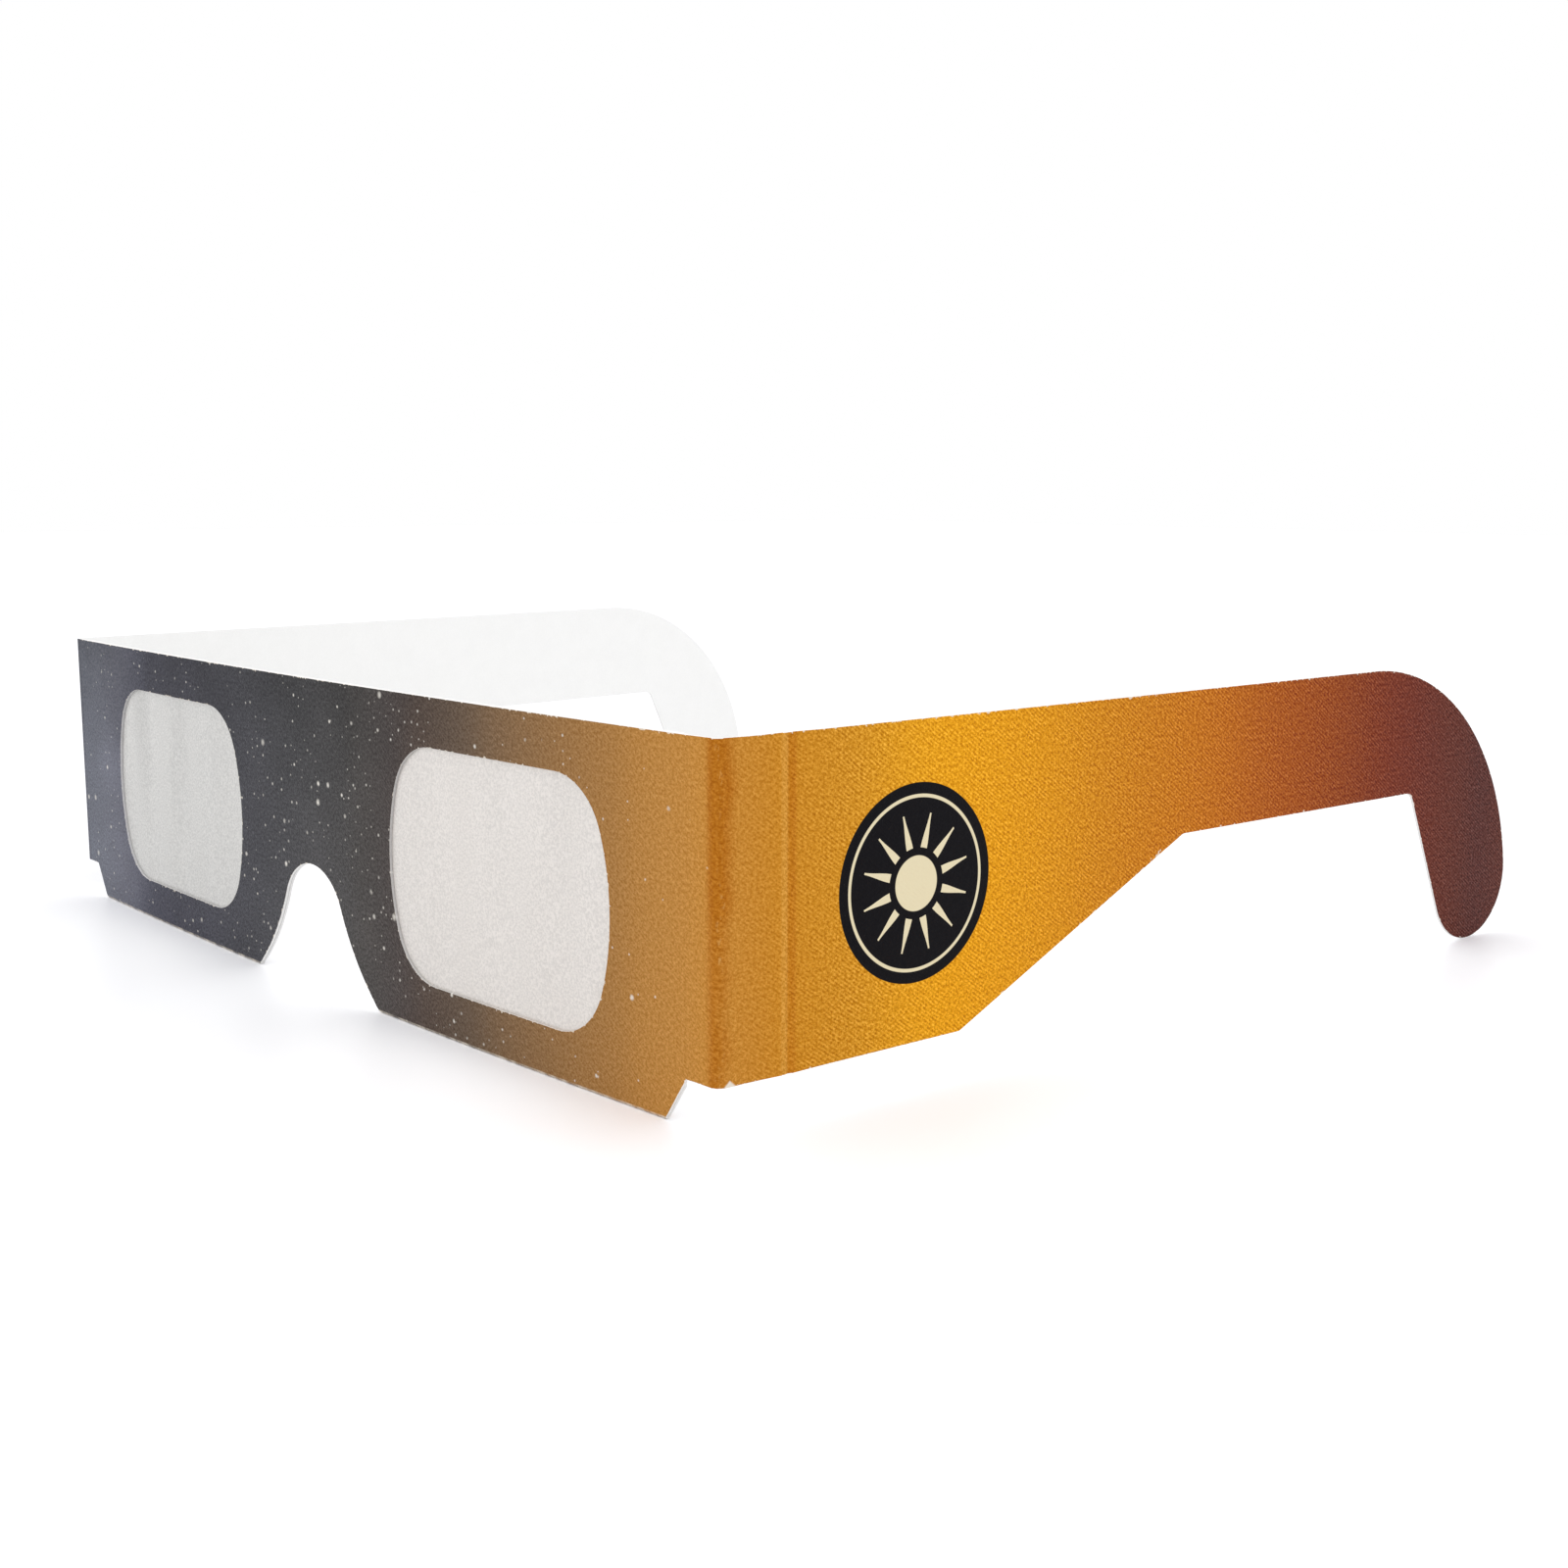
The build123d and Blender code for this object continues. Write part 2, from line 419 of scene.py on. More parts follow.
def times(tree, first, second):
    """The product of two numbers or sockets."""
    return sum_of(tree, "MULTIPLY", first, second)


def fade_line(tree, value, start, end, low=0.0, high=1.0, **settings):
    """An even change from one number to another while a value goes from its start to its end."""
    inputs = {"Value": value, "From Min": start, "From Max": end, "To Min": low, "To Max": high}
    return add(tree, "MapRange", inputs, **settings).outputs["Result"]


def fade(tree, value, start, end, low=0.0, high=1.0):
    """A smooth change from one number to another while a value goes from its start to its end."""
    return fade_line(tree, value, start, end, low, high, interpolation_type="SMOOTHSTEP")


def off_from(tree, value, middle):
    """How far a value is from a middle one."""
    return sum_of(tree, "ABSOLUTE", sum_of(tree, "SUBTRACT", value, middle))


def near_to(tree, value, middle, inner, outer):
    """One while a value is close to a middle one, and nought once it is further off."""
    return fade(tree, off_from(tree, value, middle), outer, inner)


def mixed(tree, share, first, second, blend="MIX"):
    """One colour mixed into another by a share."""
    made = add(tree, "Mix", data_type="RGBA", blend_type=blend)
    for place, value in ((0, share), (6, first), (7, second)):
        feed(tree, value, made.inputs[place])
    return made.outputs[2]


def shaded(tree, colour, light):
    """A colour made lighter or darker by a number."""
    grey = add(tree, "CombineColor", {0: light, 1: light, 2: light}).outputs[0]
    return mixed(tree, 1.0, colour, grey, "MULTIPLY")


def reckoned(tree, operation, first, second):
    """A sum on places or colours, one coordinate at a time."""
    return add(tree, "VectorMath", {0: first, 1: second}, operation=operation).outputs[0]


def grained(tree, colour, steps):
    """A colour with the same shift of its screen values in all three channels, as grain has."""
    seen = add(tree, "Gamma", {"Color": colour, "Gamma": 1 / screen_gamma}).outputs[0]
    above = reckoned(tree, "MAXIMUM", reckoned(tree, "ADD", seen, steps), (0, 0, 0))
    return add(tree, "Gamma", {"Color": above, "Gamma": screen_gamma}).outputs[0]


def noise(tree, place, scale, detail, **settings):
    """Soft random patches from 0 to 1, about one to each length of 1 / scale."""
    inputs = {"Vector": place, "Scale": scale, "Detail": detail, **settings}
    return add(tree, "TexNoise", inputs).outputs["Fac"]


def drawn_noise(tree, place, factors, detail):
    """Soft random patches that are drawn out: a factor for each coordinate, the lower the longer."""
    return noise(tree, reckoned(tree, "MULTIPLY", place, factors), 1.0, detail)


def ramp(tree, value, low, high, stops):
    """A colour for each value between two limits, smoothly through the stops given."""
    made = add(tree, "ValToRGB", {"Fac": fade_line(tree, value, low, high)})
    made.color_ramp.interpolation = "CARDINAL"
    elements = made.color_ramp.elements
    while len(elements) < len(stops):
        elements.new(1.0)
    for element, (place, colour) in zip(elements, stops):
        element.position = (place - low) / (high - low)
        element.color = colour
    return made.outputs["Color"]


def group(name, inputs, outputs):
    """An empty node group with named inputs and outputs, and its two end nodes."""
    tree = bpy.data.node_groups.new(name, "ShaderNodeTree")
    for title, kind in inputs:
        tree.interface.new_socket(title, in_out="INPUT", socket_type="NodeSocket" + kind)
    for title, kind in outputs:
        tree.interface.new_socket(title, in_out="OUTPUT", socket_type="NodeSocket" + kind)
    start = tree.nodes.new("NodeGroupInput")
    end = tree.nodes.new("NodeGroupOutput")
    return tree, start.outputs, end.inputs


def use(tree, effect, inputs):
    """Places a node group in a material and returns its outputs."""
    made = tree.nodes.new("ShaderNodeGroup")
    made.node_tree = effect
    for name, value in inputs.items():
        feed(tree, value, made.inputs[name])
    return made.outputs


def finish(name, build, relief, **constants):
    """A finish: its colour, roughness and height come from build, and constants are set on the shader."""
    material = bpy.data.materials.new(name)
    material.use_nodes = True
    tree = material.node_tree
    shader = tree.nodes["Principled BSDF"]
    for title, value in constants.items():
        shader.inputs[title.replace("_", " ")].default_value = value
    colour, roughness, height = build(tree)
    tree.links.new(colour, shader.inputs["Base Color"])
    tree.links.new(roughness, shader.inputs["Roughness"])
    bump = add(tree, "Bump", {"Height": height, "Distance": relief * mm})
    tree.links.new(bump.outputs["Normal"], shader.inputs["Normal"])
    return material


screen_angle = radians(54)
screen_pitch = 0.35
row_sway = 9.0
tooth_scale = 2.8
sharp_rows = (66, 84)


def screen_group():
    """The grain of an offset print: slanting rows of dots, broken up by the board's tooth."""
    inputs = [("Along", "Float"), ("Height", "Float")]
    tree, given, out = group("print_screen", inputs, [("Tone", "Float")])
    place = add(tree, "CombineXYZ", {0: given["Along"], 1: given["Height"]}).outputs[0]
    tooth = fade_line(tree, noise(tree, place, tooth_scale, 2.0, Roughness=0.85), 0.36, 0.64, -1.0, 1.0)
    wander = noise(tree, place, 0.3, 2.0)
    across = times(tree, given["Along"], cos(screen_angle))
    across = sum_of(tree, "MULTIPLY_ADD", given["Height"], sin(screen_angle), across)
    even = times(tree, across, 2 * pi / screen_pitch)
    rows = sum_of(tree, "SINE", sum_of(tree, "MULTIPLY_ADD", wander, row_sway, even))
    patchy = fade(tree, wander, 0.35, 0.6, 0.2, 0.55)
    clear = times(tree, patchy, fade(tree, given["Along"], *sharp_rows, 0.5, 1.0))
    tree.links.new(sum_of(tree, "ADD", tooth, times(tree, rows, clear)), out["Tone"])
    return tree


dusk_reach = 200.0
dusk_inks_and_sheen = (
    (-190, ink(30, 32, 46)),
    # The lighter blue-grey stops at -66 and -56 are a painted sheen at the far end of the front.
    (-66, ink(104, 107, 118)),
    (-56, ink(104, 105, 117)),
    (-44, ink(70, 70, 82)),
    (8, ink(76, 74, 74)),
    (22, ink(84, 72, 66)),
    (36, ink(120, 95, 70)),
    (57, ink(173, 124, 65)),
    (67, ink(196, 137, 61)),
    (76, ink(205, 137, 38)),
    (87, ink(217, 149, 31)),
    (97, ink(235, 162, 18)),
    (118, ink(214, 139, 21)),
    (142, ink(187, 103, 20)),
    (166, ink(137, 60, 22)),
    (190, ink(93, 43, 33)),
)
night_edge = (40, 8)
# Painted shade: the dusk grey darkens towards the top edge.
top_shade_heights = (15, 38)
top_shade_depth = 0.4
cloud_scale = 0.09
cloud_change = (-0.08, 0.14)


def dusk_shade_and_clouds(tree, place, along, height):
    """How light the dusk grey is: painted shade that darkens it up the board, and soft printed clouds."""
    dark = fade(tree, along, *night_edge)
    # Painted shade towards the top edge.
    top_shade = times(tree, fade(tree, height, *top_shade_heights, 0.0, top_shade_depth), dark)
    clouds = fade(tree, noise(tree, place, cloud_scale, 3.0), 0.35, 0.7, *cloud_change)
    clouds = times(tree, clouds, dark)
    return sum_of(tree, "ADD", sum_of(tree, "SUBTRACT", 1.0, top_shade), clouds)


star_ink = ink(236, 231, 222)
large_star = (2.7, 0.22, 0.56, 3.7)
small_star = (1.2, 0.11, 0.26, 9.1)
large_share = 0.5
small_share = 0.45
small_strength = 0.8
faintest = 0.45
clump_scale = 0.14
gold_side = (18, 66)
last_stars = (71, 57)
dusk_side = (-60, 8)


def spots(tree, place, kind, share):
    """Small soft round marks: one per cell at most, of mixed sizes and strengths, thinned out to a share."""
    cell, least, most, seed = kind
    shifted = reckoned(tree, "ADD", place, (seed, seed * 2, 0))
    marks = add(tree, "TexVoronoi", {"Vector": shifted, "Scale": 1 / cell}, voronoi_dimensions="2D")
    chance = add(tree, "SeparateColor", {0: marks.outputs["Color"]}).outputs
    radius = fade_line(tree, sum_of(tree, "POWER", chance[1], 2.0), 0, 1, least / cell, most / cell)
    near = sum_of(tree, "DIVIDE", marks.outputs["Distance"], radius)
    shown = sum_of(tree, "LESS_THAN", chance[0], share)
    strength = fade_line(tree, chance[2], 0, 1, faintest, 1.0)
    return times(tree, times(tree, fade(tree, near, 1.0, 0.2), shown), strength)


def star_marks(tree, place, along):
    """Stars of two sizes in loose clumps, fewer towards the gold and none at the corner."""
    clumps = fade(tree, noise(tree, place, clump_scale, 1.0), 0.4, 0.64, 0.12, 1.0)
    thin = times(tree, fade(tree, along, *gold_side, 1.0, 0.25), fade(tree, along, *last_stars))
    thin = times(tree, thin, fade(tree, along, *dusk_side, 0.45, 1.0))
    share = times(tree, clumps, thin)
    large = spots(tree, place, large_star, times(tree, share, large_share))
    small = spots(tree, place, small_star, times(tree, share, small_share))
    return sum_of(tree, "MAXIMUM", large, times(tree, small, small_strength))


# Painted shade in the creases, together with ink darkened by pressing, on the gold and on the dusk grey.
pressed_and_shaded_ink = ink(233, 208, 128)
pressed_and_shaded_night_ink = ink(208, 208, 214)
corner_middle = (front_end + strip_start) / 2
band_start = corner_middle - 1.5
band_full = corner_middle - 0.4
band_fading = corner_middle - 0.2
band_end = corner_middle + 1.9
band_heights = (10, 34)
line_core = 0.1
line_edge = 0.7
line_strength = 0.6


def fold_press_and_shade(tree, place, reach, swayed, height):
    """Painted shade, with ink darkened by pressing: a band widening upward at the corner, a line at the arm.
    """
    unevenness = fade(tree, drawn_noise(tree, place, (0.02, 0.1, 1.0), 1.0), 0.35, 0.65, 0.8, 1.2)
    spread = sum_of(tree, "SUBTRACT", swayed, fade(tree, height, *band_heights, -0.2, 0.5))
    front_side = fade(tree, reach, band_start, band_full)
    band = times(tree, front_side, fade(tree, spread, band_end, band_fading))
    line = times(tree, near_to(tree, reach, arm_start, line_core, line_edge), line_strength)
    return times(tree, sum_of(tree, "MAXIMUM", band, line), unevenness)


# A painted highlight on the ridge just before the arm crease, on the gold and on the dusk grey.
ridge_highlight = ink(232, 174, 84)
ridge_night_highlight = ink(140, 140, 150)
ridge_place = strip_end + 0.25
ridge_core = 0.1
ridge_edge = 0.6
ridge_strength = 0.3
crack_ink = ink(226, 176, 104)
crack_night_ink = ink(196, 194, 196)
crack_place = corner_middle + 0.2
crack_core = 0.05
crack_edge = 0.3


def crack_marks(tree, place, swayed):
    """Fine cracks in the print, here and there down the corner crease."""
    cracks = fade(tree, drawn_noise(tree, place, (4.0, 1.2, 1.0), 3.0), 0.5, 0.7, 0.0, 0.5)
    cracks = times(tree, cracks, near_to(tree, swayed, crack_place, crack_core, crack_edge))
    stretches = fade(tree, drawn_noise(tree, place, (0.1, 0.13, 1.0), 1.0), 0.45, 0.6, 0.15, 1.0)
    return times(tree, cracks, stretches)


worn_ink = ink(240, 230, 214)
chip_scale = 1.7
chip_reach = (0.03, 0.95)
chip_strength = 0.8
scuff_place = corner_middle + 1.1
scuff_slope = 0.9
scuff_heights = (side_bottom + 0.75, side_bottom + 0.45)


def bare_marks(tree, chips, edge, reach, height):
    """Where the print is gone: small chips along the cut edges, and a scuff at the corner's foot."""
    worn = sum_of(tree, "LESS_THAN", edge, fade(tree, chips, 0.54, 0.76, *chip_reach))
    rise = sum_of(tree, "MULTIPLY_ADD", off_from(tree, reach, scuff_place), scuff_slope, height)
    scuff = fade(tree, rise, *scuff_heights)
    return sum_of(tree, "MAXIMUM", times(tree, worn, chip_strength), scuff)


day_edge = (-20, 40)
fold_sway = 0.7
grain_place = (72, 90)
grain_steps = (0.06, 0.11)
print_rough = (0.42, 0.54)


def dusk_group():
    """The print over the whole blank, dusk grey at one side, gold, then red-brown at the other, with painted
    shade, sheen and highlight.
    """
    inputs = [("Along", "Float"), ("Height", "Float"), ("Edge", "Float")]
    outputs = [("Color", "Color"), ("Roughness", "Float"), ("Relief", "Float")]
    tree, given, out = group("dusk_print_and_painted_light", inputs, outputs)
    along, height = given["Along"], given["Height"]
    place = add(tree, "CombineXYZ", {0: along, 1: height}).outputs[0]
    reach = sum_of(tree, "ABSOLUTE", along)
    sway = fade_line(tree, drawn_noise(tree, place, (0.1, 0.3, 1.0), 2.0), 0, 1, -fold_sway, fold_sway)
    swayed = sum_of(tree, "SUBTRACT", reach, sway)
    day_share = fade(tree, along, *day_edge)

    colour = ramp(tree, along, -dusk_reach, dusk_reach, dusk_inks_and_sheen)
    # Painted shade up the board, and printed clouds.
    colour = shaded(tree, colour, dusk_shade_and_clouds(tree, place, along, height))
    colour = mixed(tree, star_marks(tree, place, along), colour, star_ink)

    # Painted shade at the creases, together with ink darkened by pressing.
    tint = mixed(tree, day_share, pressed_and_shaded_night_ink, pressed_and_shaded_ink)
    pressed = mixed(tree, 1.0, colour, tint, "MULTIPLY")
    colour = mixed(tree, fold_press_and_shade(tree, place, reach, swayed, height), colour, pressed)
    # Painted highlight on the ridge beside the arm crease.
    ridge = near_to(tree, reach, ridge_place, ridge_core, ridge_edge)
    ridge = times(tree, ridge, ridge_strength)
    colour = mixed(tree, ridge, colour, mixed(tree, day_share, ridge_night_highlight, ridge_highlight))

    tone = use(tree, screen, {"Along": along, "Height": height})["Tone"]
    strength = fade(tree, along, *grain_place, *grain_steps)
    colour = grained(tree, colour, times(tree, tone, strength))
    bared = mixed(tree, day_share, crack_night_ink, crack_ink)
    colour = mixed(tree, crack_marks(tree, place, swayed), colour, bared)
    chips = noise(tree, place, chip_scale, 3.0)
    colour = mixed(tree, bare_marks(tree, chips, given["Edge"], reach, height), colour, worn_ink)

    tree.links.new(colour, out["Color"])
    tree.links.new(fade(tree, chips, 0.3, 0.7, *print_rough), out["Roughness"])
    tree.links.new(tone, out["Relief"])
    return tree


mottle_scale = 0.35
mottle_light = (0.985, 1.0)
hair_scale = 2.2
hair_shape = (1.0, 2.4, 1.0)


def paper_group():
    """Bare paper: faint mottling and short fibres."""
    inputs = [("Place", "Vector"), ("Fibre", "Float")]
    tree, given, out = group("bare_paper", inputs, [("Shade", "Float"), ("Relief", "Float")])
    mottle = noise(tree, given["Place"], mottle_scale, 4.0)
    drawn = reckoned(tree, "MULTIPLY", given["Place"], hair_shape)
    hairs = noise(tree, drawn, hair_scale, 5.0, Distortion=1.4)
    fine = times(tree, fade(tree, hairs, 0.35, 0.65, -1.0, 1.0), given["Fibre"])
    tree.links.new(sum_of(tree, "ADD", fade(tree, mottle, 0.3, 0.7, *mottle_light), fine), out["Shade"])
    tree.links.new(hairs, out["Relief"])
    return tree


screen = screen_group()
dusk = dusk_group()
paper = paper_group()

print_gloss = 0.08
print_relief = 0.006
white_ink = ink(253, 253, 252)
white_fibre = 0.012
white_rough = 0.7
white_gloss = 0.3
edge_ink = ink(250, 249, 248)
edge_fibre = 0.04
edge_rough = 0.85
edge_gloss = 0.2
edge_relief = 0.02
edge_print_share = 0.06
window_edge_print_share = 0.45
window_fade = 1.5


def place_on_blank(tree):
    """Distance along the blank, height on it, and nought at a cut edge, as numbers."""
    place = add(tree, "Attribute", attribute_name="blank").outputs["Vector"]
    return add(tree, "SeparateXYZ", {0: place}).outputs


def printed_surface(tree):
    """Colour, roughness and height of the printed face."""
    blank = place_on_blank(tree)
    made = use(tree, dusk, {"Along": blank[0], "Height": blank[1], "Edge": blank[2]})
    return made["Color"], made["Roughness"], made["Relief"]


def place_in_mm(tree):
    """The place in the frame, in millimetres."""
    return reckoned(tree, "MULTIPLY", add(tree, "TexCoord").outputs["Object"], (1 / mm, 1 / mm, 1 / mm))


def paper_surface(colour, fibre, rough):
    """Builder of a bare paper surface in one colour."""

    def build(tree):
        made = use(tree, paper, {"Place": place_in_mm(tree), "Fibre": fibre})
        relief = made["Relief"]
        return shaded(tree, colour, made["Shade"]), fade(tree, relief, 0, 1, rough, 1.0), relief

    return build


white_surface = paper_surface(white_ink, white_fibre, white_rough)


def edge_surface(tree):
    """The cut edge: bare paper, mixed with some of the print's colour, most round the windows."""
    blank = place_on_blank(tree)
    bare = paper_surface(edge_ink, edge_fibre, edge_rough)(tree)
    above = use(tree, dusk, {"Along": blank[0], "Height": blank[1], "Edge": 1.0})["Color"]
    shares = []
    for value, middle, half in (
        (blank[0], window_reach, window_half_width),
        (blank[1], window_height, window_half_height),
    ):
        shares.append(near_to(tree, sum_of(tree, "ABSOLUTE", value), middle, half, half + window_fade))
    # The edge takes on more of the print's colour round the windows.
    drawn = fade_line(tree, times(tree, *shares), 0, 1, edge_print_share, window_edge_print_share)
    return mixed(tree, drawn, bare[0], above), bare[1], bare[2]


printed_board = finish("printed_board", printed_surface, print_relief, Specular_IOR_Level=print_gloss)
white_board = finish("white_board", white_surface, print_relief, Specular_IOR_Level=white_gloss)
cut_edge = finish("cut_edge", edge_surface, edge_relief, Specular_IOR_Level=edge_gloss)


def dress(piece, body, node, outside=printed_board):
    """Gives a piece of board its three finishes, hides the frame's part that it stands for, and hangs it on
    its body, if it has one.
    """
    for material in (outside, white_board, cut_edge):
        piece.data.materials.append(material)
    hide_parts(node)
    if body:
        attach(piece, body)


same_line = 1e-4
panel_loops = [turned(front_outline(front_end, fold_rise), True)]
panel_loops += [turned(window_outline(side), False) for side, _ in sides]


def panel_joined(point):
    """True where the panel runs on into a crease or into the fold below."""
    return abs(point[0]) > front_end - same_line or point[1] < fold_rise + same_line


front_panel = make_board("front_panel_print", fill(panel_loops), panel_joined)
dress(front_panel, "front", "front_panel")

# Lens flap
# The inner layer of the front. On the blank it hangs below the front panel: a short lip, the bottom
# fold and then the back, which is folded up behind the films. Only the lip and fold are printed.
film_thickness = 0.08
flap_side_gap = 4.6
bleed = 0.7
fold_steps = 10
rubbed_share = 0.28
rubbed_core = 0.09
rubbed_edge = 0.2

fold_radius = (board + film_thickness) / 2
fold_top = fold_radius + half_board
fold_length = pi * fold_radius
flap_reach = half_width - flap_side_gap


def unfolded(height):
    """Where a height on the flap's back lies on the flat blank, below the fold."""
    return 2 * fold_top - fold_length - height


def flap_section(points, out):
    """Folds the flat flap: the lip in front, round the bottom fold, and up behind the films."""
    run = fold_top - points[:, 1]
    turn = np.clip(run / fold_radius, 0, pi)
    radius = fold_radius + out
    height = fold_top - radius * np.sin(turn) + np.maximum(-run, 0) + np.maximum(run - fold_length, 0)
    return height, radius * np.cos(turn) - fold_radius


def flap_shape():
    """The flat flap, with a row of points for each step round the fold."""
    turns = [pi * i / fold_steps for i in range(fold_steps + 1)]
    rows = [(fold_top - fold_radius * turn, fold_top - fold_radius * sin(turn)) for turn in turns]
    rows = [(fold_rise, fold_rise)] + rows
    inner = [(flank_at(z), flat) for flat, z in rows[::-1]]
    outer = [(foot_at(z), flat) for flat, z in rows]
    upper = [(x, unfolded(z)) for x, z in side_edge(flap_reach, fold_top)]
    right = inner + outer + upper[1:]
    left = [(-x, z) for x, z in right[::-1]]
    nose = [(x, unfolded(z)) for x, z in nose_outline(fold_top)]
    lines = []
    for flat, z in rows[1:]:
        across = np.linspace(flank_at(z), foot_at(z), ceil((foot_at(z) - flank_at(z)) / grid_step))
        lines += [[(x, flat) for x in across], [(-x, flat) for x in across]]
    loops = [turned(stretch(left + nose[1:-1] + right), True)]
    for side, _ in sides:
        loops.append(turned([(x, unfolded(z)) for x, z in window_outline(side)], False))
    return fill(loops, lines)


def flap_joined(point):
    """True along the lip's end, where the flap runs on into the front panel."""
    return point[1] > fold_rise - same_line


def turned_in_surface(tree):
    """The printed face as far as the fold, with a little bleed, and bare white board above it."""
    blank = place_on_blank(tree)
    colour, rough, relief = printed_surface(tree)
    bare = white_surface(tree)[0]
    along = add(tree, "CombineXYZ", {0: blank[0]}).outputs[0]
    rubbed = fade(tree, noise(tree, along, 0.6, 3.0), 0.35, 0.65, 0.15, 0.8)
    line = near_to(tree, blank[1], fold_top - fold_length * rubbed_share, rubbed_core, rubbed_edge)
    colour = mixed(tree, times(tree, rubbed, line), colour, worn_ink)
    beyond = sum_of(tree, "LESS_THAN", blank[1], unfolded(fold_top + bleed))
    return mixed(tree, beyond, colour, bare), rough, relief


turned_in = finish("turned_in_board", turned_in_surface, print_relief, Specular_IOR_Level=print_gloss)
flap = make_board("lens_flap_board", flap_shape(), flap_joined, flap_section)
dress(flap, "front", "lens_flap", turned_in)

# Glue
# White paper glue, spread between the two layers all round the films before the flap is pressed
# down. Only its edge shows, deep in the seam.
glue_ink = ink(236, 233, 227)
glue_fibre = 0.05
glue_rough = 0.5
glue_coat = 0.1
glue_relief = 0.01


def coat(node, material):
    """Gives a piece of the frame its finish."""
    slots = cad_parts[node].data.materials
    slots.clear()
    slots.append(material)


glue_surface = paper_surface(glue_ink, glue_fibre, glue_rough)
dried_glue = finish("dried_glue", glue_surface, glue_relief, Coat_Weight=glue_coat)
coat("glue_layer", dried_glue)

# Filter films
# One rectangle of silvery filter film behind each window, cut larger than it and held by the glue.
# The film is matt, with a fine tooth and faint upright streaks, partly from the roll and partly a painted
# reflection that is deepest at the top of the right film. The left film is painted lighter than the right.
film_shade = ink(209, 208, 205)
film_tone = ink(228, 223, 218)
film_metal = 0.25
film_relief = 0.006
film_tooth = 3.6
film_span = (-30, 30)
film_grain = (0.12, 0.09)
film_wave = 3.0
film_rough = (0.42, 0.5)
streak_pitch = 12.0
streak_sway = 3.0
streak_heights = (8, 28)
streak_span = (-46, -22)
streak_depth = (0.09, 0.015)


def film_surface(tree):
    """Colour, roughness and height of the film."""
    place = place_in_mm(tree)
    x, _, z = add(tree, "SeparateXYZ", {0: place}).outputs
    sway = drawn_noise(tree, place, (0.2, 0.2, 0.02), 2.0)
    even = times(tree, x, 2 * pi / streak_pitch)
    turn = sum_of(tree, "MULTIPLY_ADD", sway, streak_sway, even)
    streaks = fade(tree, sum_of(tree, "SINE", sum_of(tree, "SUBTRACT", turn, pi)), -1.0, 0.2, -1.0, 0.25)
    # Painted reflection: the streaks deepen towards the top, most on the right film.
    depth = fade(tree, x, *streak_span, *streak_depth)
    depth = times(tree, fade(tree, z, *streak_heights), depth)
    tooth = noise(tree, place, film_tooth, 1.0, Roughness=0.8)
    grain = fade_line(tree, tooth, 0.35, 0.65, -1.0, 1.0)
    grain = times(tree, grain, fade(tree, x, *film_span, *film_grain))
    light = sum_of(tree, "ADD", times(tree, streaks, depth), sum_of(tree, "ADD", grain, 1.0))
    # Painted light: the left film is painted lighter than the right one.
    colour = mixed(tree, fade(tree, x, *film_span), film_shade, film_tone)
    height = sum_of(tree, "MULTIPLY_ADD", sway, film_wave, tooth)
    return shaded(tree, colour, light), fade(tree, sway, 0.3, 0.7, *film_rough), height


filter_film = finish("filter_film", film_surface, film_relief, Metallic=film_metal)
for _, word in sides:
    coat(word + "_filter_film", filter_film)

# Creases
# Board pressed thin by a blunt rule, so that it folds there: a shallow groove on the printed face and
# a bead on the white one. The corner crease is folded hard, the arm crease only a little.
crease_columns = 16
crease_rows = 12
corner_groove = 0.04
corner_shoulder = 0.0
corner_bead = 0.12
arm_groove = 0.1
arm_shoulder = 0.03
arm_bead = 0.1
groove_shares = (0.66, 0.16)
shoulder_shares = (0.28, 0.12)
end_power = 0.25


def crease_shape(side, start, end):
    """A narrow upright band of the blank, in even columns so that it bends smoothly."""
    along = np.linspace(*sorted((side * start, side * end)), crease_columns + 1)
    middle = np.linspace(side_bottom + rim_width, front_height - rim_width, crease_rows - 1)
    up = [side_bottom, *middle, front_height]
    points = np.array([(a, z) for z in up for a in along])
    wide = crease_columns + 1
    triangles = []
    for row in range(crease_rows):
        for column in range(crease_columns):
            low = row * wide + column
            triangles += [(low, low + 1, low + wide + 1), (low, low + wide + 1, low + wide)]
    top = crease_rows * wide
    border = list(range(wide)) + [row * wide + crease_columns for row in range(1, crease_rows + 1)]
    border += [top + column for column in range(crease_columns - 1, -1, -1)]
    border += [row * wide for row in range(crease_rows - 1, 0, -1)]
    return points, np.array(triangles), [border]


def swell(share, place, width):
    """A smooth rise. Its place and its width are shares of the way across the crease."""
    return np.exp(-((share - place) / width) ** 2)


def pressed_section(start, end, groove, shoulder, bead):
    """How the rule has pressed a crease: a groove outside, past its middle, and a bead inside."""

    def section(points, out):
        share = np.clip((np.abs(points[:, 0]) - start) / (end - start), 0, 1)
        hollow = swell(share, *groove_shares) - swell(1, *groove_shares) * share
        raised = swell(share, *shoulder_shares) * (share > 0)
        outer = shoulder * raised - groove * hollow
        inner = -bead * np.sin(pi * share) ** 2
        return points[:, 1], out + np.where(out > 0, outer, inner) * np.sin(pi * share) ** end_power

    return section


def make_crease(side, name, start, end, pressing):
    """One crease, which bends between the two pieces that it joins."""

    def joined(point):
        return min(abs(abs(point[0]) - start), abs(abs(point[0]) - end)) < same_line

    section = pressed_section(start, end, *pressing)
    web = make_board(name + "_web", crease_shape(side, start, end), joined, section)
    dress(web, None, name)
    middle = np.full(2, (side_bottom + front_height) / 2)
    feet = lay(np.array([side * start, side * end]), middle, np.zeros(2))
    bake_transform(web)


